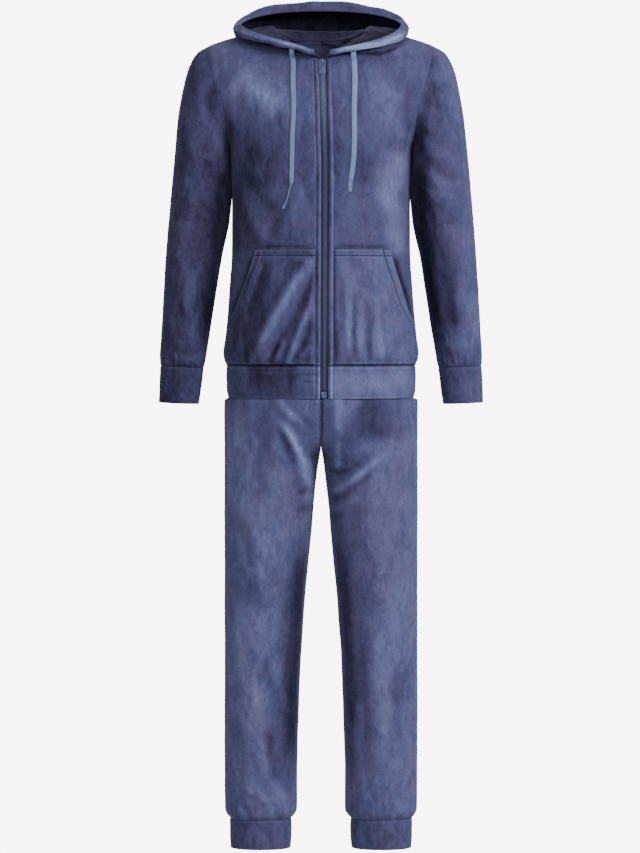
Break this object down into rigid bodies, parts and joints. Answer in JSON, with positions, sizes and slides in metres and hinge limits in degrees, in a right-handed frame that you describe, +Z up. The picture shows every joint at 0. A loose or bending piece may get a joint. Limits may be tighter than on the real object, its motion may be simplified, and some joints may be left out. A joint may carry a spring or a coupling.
{
  "type": "hooded zip jacket and cuffed trousers set, filled out as worn",
  "caption": "Hollow velour lounge set held as worn: zip-front hooded jacket with patch pockets and drawstrings over cuffed jogger trousers.",
  "frame": {"origin": "middle of the neck, level with the shoulder points: where the set is held when worn", "axes": "+Z up, -Y the way the wearer faces, +X the wearer's left"},
  "size_m": [0.583, 0.3011, 1.5325],
  "materials": {
    "velour": "navy blue velour, short nap with uneven sheen",
    "satin_tape": "pale blue woven satin tape",
    "zip_tape": "dark blue woven polyester tape",
    "zip_teeth": "dark blue nylon coil",
    "enamelled_metal": "blue enamelled die-cast zinc"
  },
  "bodies": {
    "cloth": {"jacket_front_right": "velour", "jacket_front_left": "velour", "jacket_back": "velour", "sleeve_right": "velour", "sleeve_left": "velour", "sleeve_cuff_right": "velour", "sleeve_cuff_left": "velour", "hem_band": "velour", "hood_right": "velour", "hood_left": "velour", "pocket_right": "velour", "pocket_left": "velour", "drawstring_right": "satin_tape", "drawstring_left": "satin_tape", "zip_tape_right": "zip_tape", "zip_tape_left": "zip_tape", "zip_chain": "zip_teeth", "zip_slider": "enamelled_metal", "zip_box": "enamelled_metal", "leg_front_right": "velour", "leg_front_left": "velour", "leg_back_right": "velour", "leg_back_left": "velour", "waistband": "velour", "ankle_cuff_right": "velour", "ankle_cuff_left": "velour"},
    "pull_tab": {"zip_pull": "enamelled_metal"}
  },
  "joints": [
    {"name": "pull_tab_hinge", "type": "hinge", "parent": "cloth", "child": "pull_tab", "pos_m": [0.00194, -0.10565, -0.02802], "axis": [-1, 0, 0], "range_deg": [0, 150]}
  ]
}
